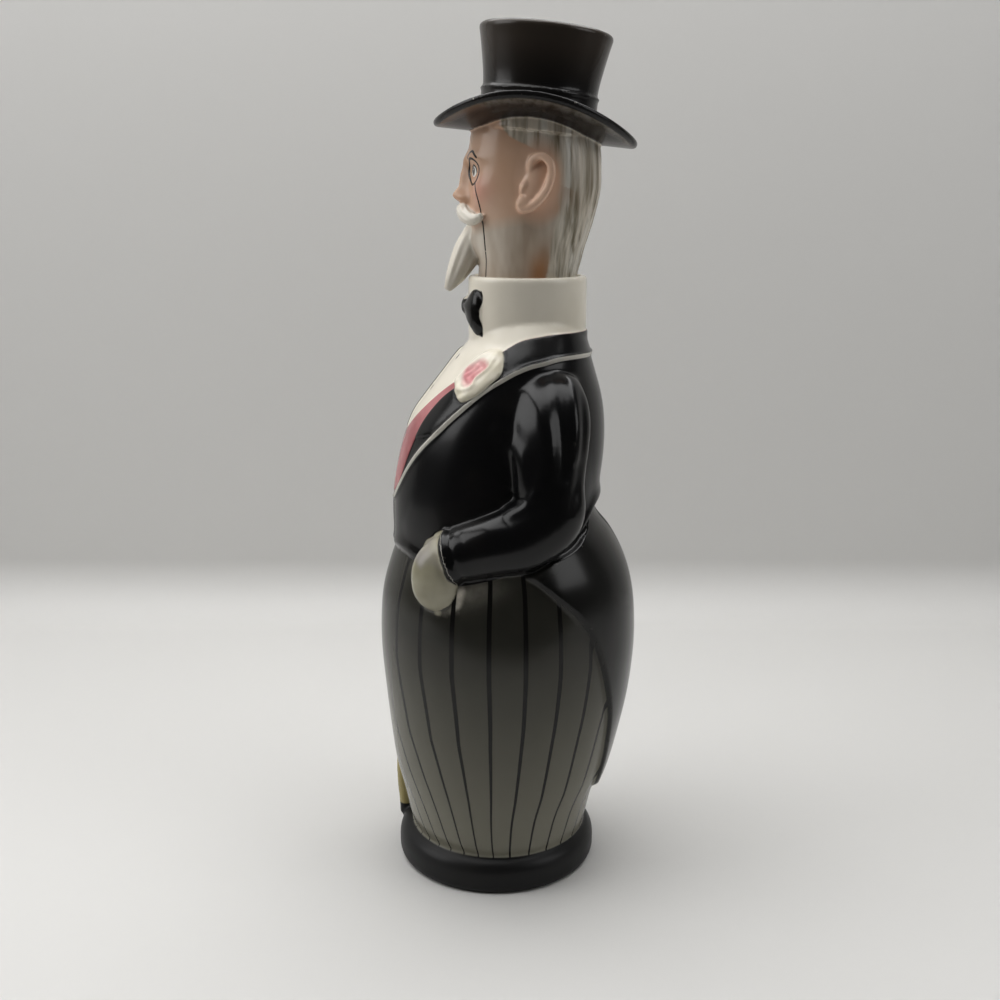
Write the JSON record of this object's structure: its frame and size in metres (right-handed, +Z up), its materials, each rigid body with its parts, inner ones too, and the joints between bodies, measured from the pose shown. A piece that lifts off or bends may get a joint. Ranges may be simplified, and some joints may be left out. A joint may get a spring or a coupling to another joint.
{
  "type": "figural decanter",
  "caption": "Hollow ceramic decanter shaped as a standing gentleman in a tailcoat; his head with its top hat lifts out of the stand-up collar as the stopper.",
  "frame": {"origin": "middle of the flat underside of the round plinth", "axes": "+Z up, the figure faces -Y, +X is the figure's left-hand side"},
  "size_m": [0.1052, 0.1008, 0.327],
  "materials": {
    "body_glaze": "glossy hand-painted glaze: black coat, grey trousers with black stripes, white shirt and collar",
    "head_glaze": "glossy hand-painted glaze: skin tones, white whiskers, grey-white hair and a black top hat"
  },
  "bodies": {
    "root": {"bottle_body": "body_glaze", "head_stopper": "head_glaze"}
  },
  "joints": []
}
